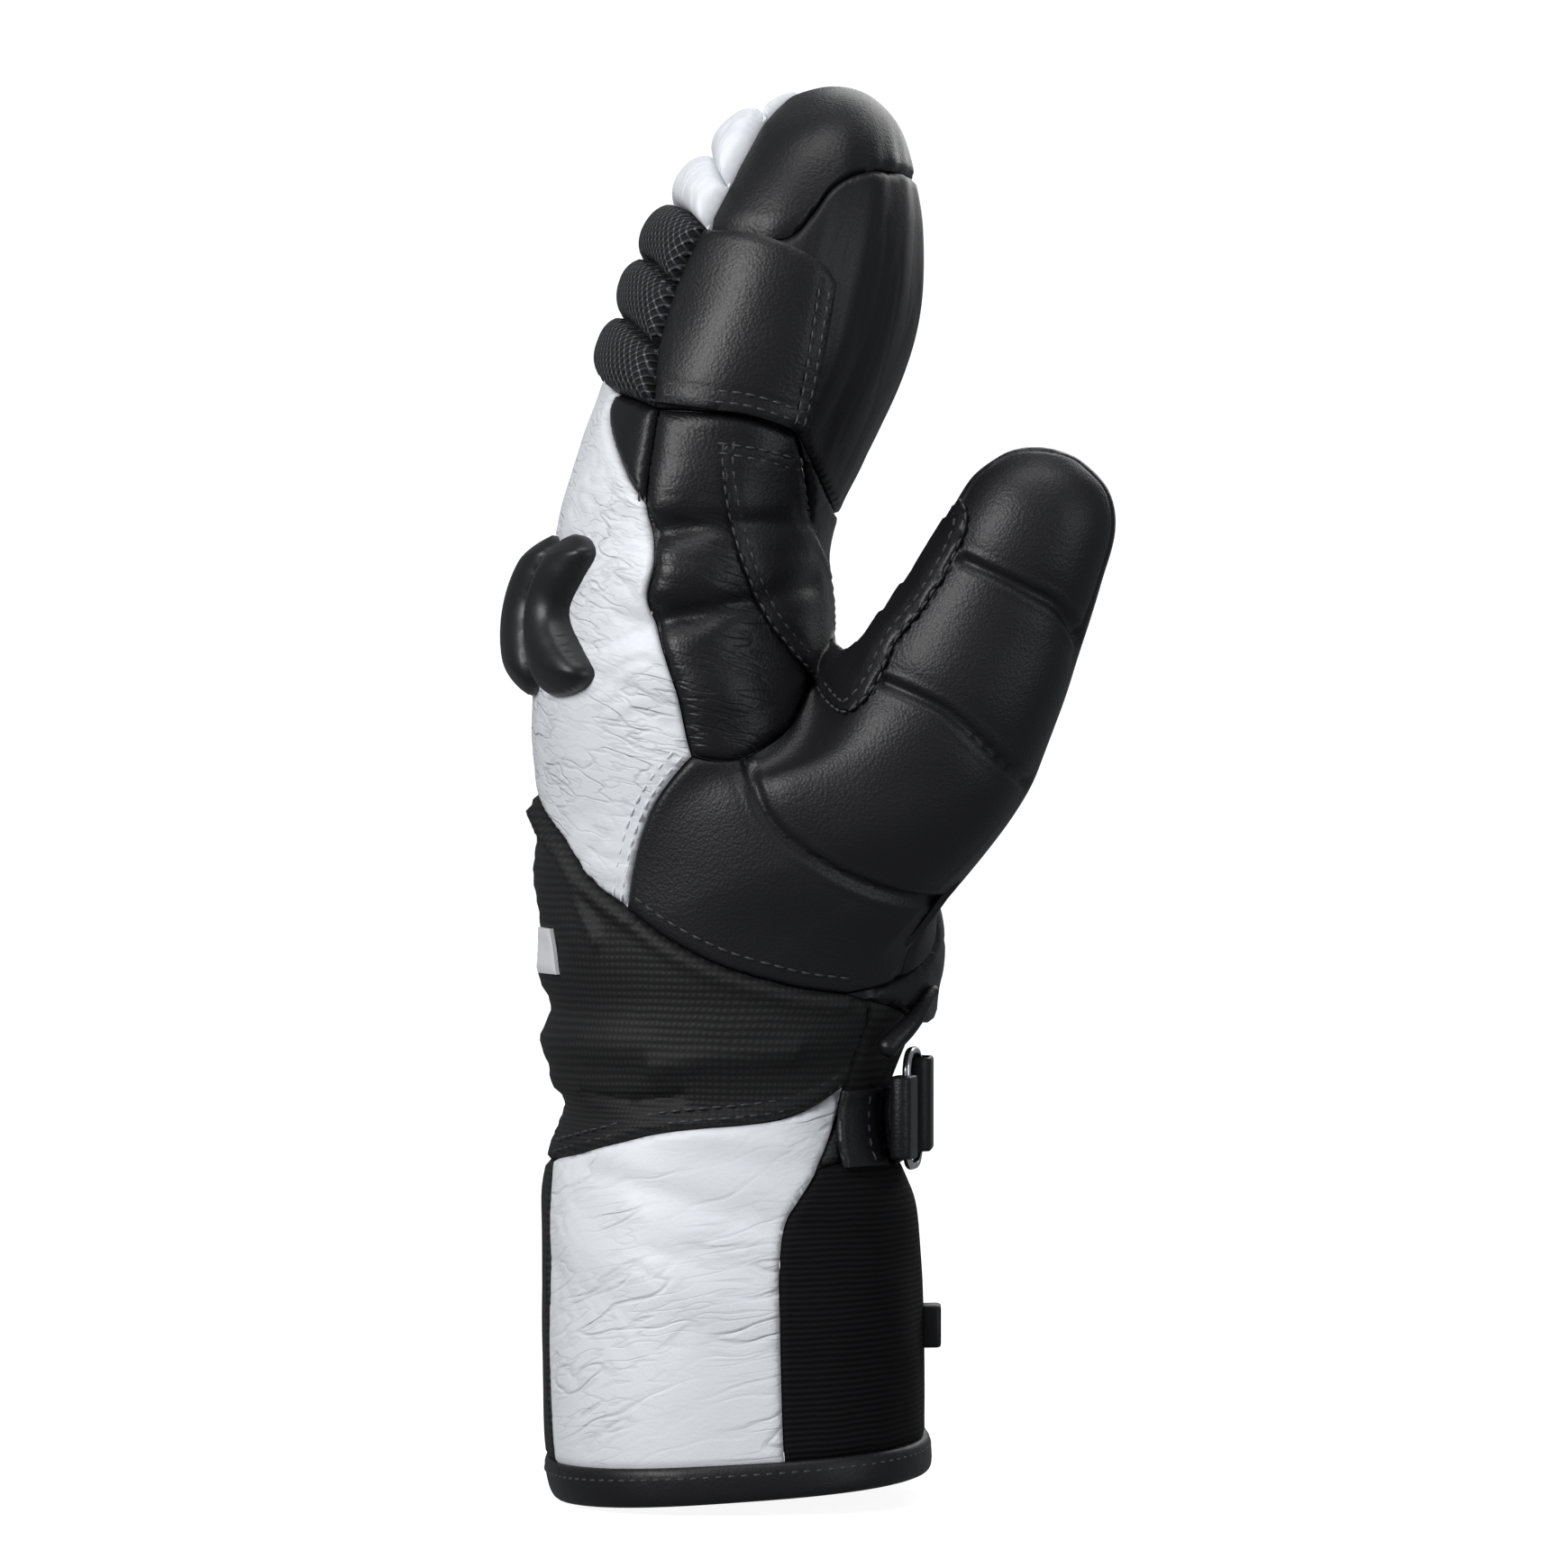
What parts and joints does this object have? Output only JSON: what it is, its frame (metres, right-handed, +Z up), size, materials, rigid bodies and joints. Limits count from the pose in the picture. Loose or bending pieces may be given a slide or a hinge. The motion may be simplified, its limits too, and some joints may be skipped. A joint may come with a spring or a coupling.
{
  "type": "ski mitten",
  "caption": "Padded mitten-style ski glove for the left hand with ribbed knuckle side, hard guards, wrist strap and open cuff.",
  "frame": {"origin": "centre of the cuff's open mouth, in the plane of the hem", "axes": "+Z up the hand to the fingertip, +X towards the palm, thumb side towards -Y"},
  "size_m": [0.1274, 0.1044, 0.2958],
  "materials": {
    "white_leather": "soft, fine creases",
    "black_leather": "satin, fine grain",
    "fine_leather": "satin, tight grain, padded",
    "matte_leather": "smooth matte",
    "mesh_fabric": "open knit mesh, padded",
    "stretch_fabric": "stretch softshell",
    "ribbed_fabric": "fine horizontal ribs",
    "hard_black": "satin moulded",
    "steel": "polished wire",
    "white_tape": "plain woven tape"
  },
  "bodies": {
    "root": {"cuff_back_panel": "stretch_fabric", "cuff_gusset": "ribbed_fabric", "cuff_leather_far": "white_leather", "cuff_leather_near": "white_leather", "far_side_panel": "black_leather", "finger_base_insert": "black_leather", "finger_palm_panel": "matte_leather", "fingertip_cap": "black_leather", "hand_back_panel": "white_leather", "heel_piping": "matte_leather", "hem_binding": "matte_leather", "index_base_panel": "black_leather", "knuckle_guard_1": "hard_black", "knuckle_guard_2": "hard_black", "knuckle_guard_3": "hard_black", "knuckle_guard_4": "hard_black", "mesh_roll_1": "mesh_fabric", "mesh_roll_2": "mesh_fabric", "mesh_roll_3": "mesh_fabric", "palm_panel": "matte_leather", "pull_tab": "stretch_fabric", "side_patch": "black_leather", "strap_keeper": "matte_leather", "strap_ring": "steel", "thumb_inner_panel": "matte_leather", "thumb_outer_panel": "fine_leather", "web_patch": "black_leather", "white_roll_1": "white_leather", "white_roll_2": "white_leather", "white_roll_3": "white_leather", "wrist_palm_panel": "stretch_fabric", "wrist_panel": "stretch_fabric", "wrist_strap_long": "matte_leather", "wrist_strap_short": "matte_leather", "wrist_tab": "white_tape"}
  },
  "joints": []
}
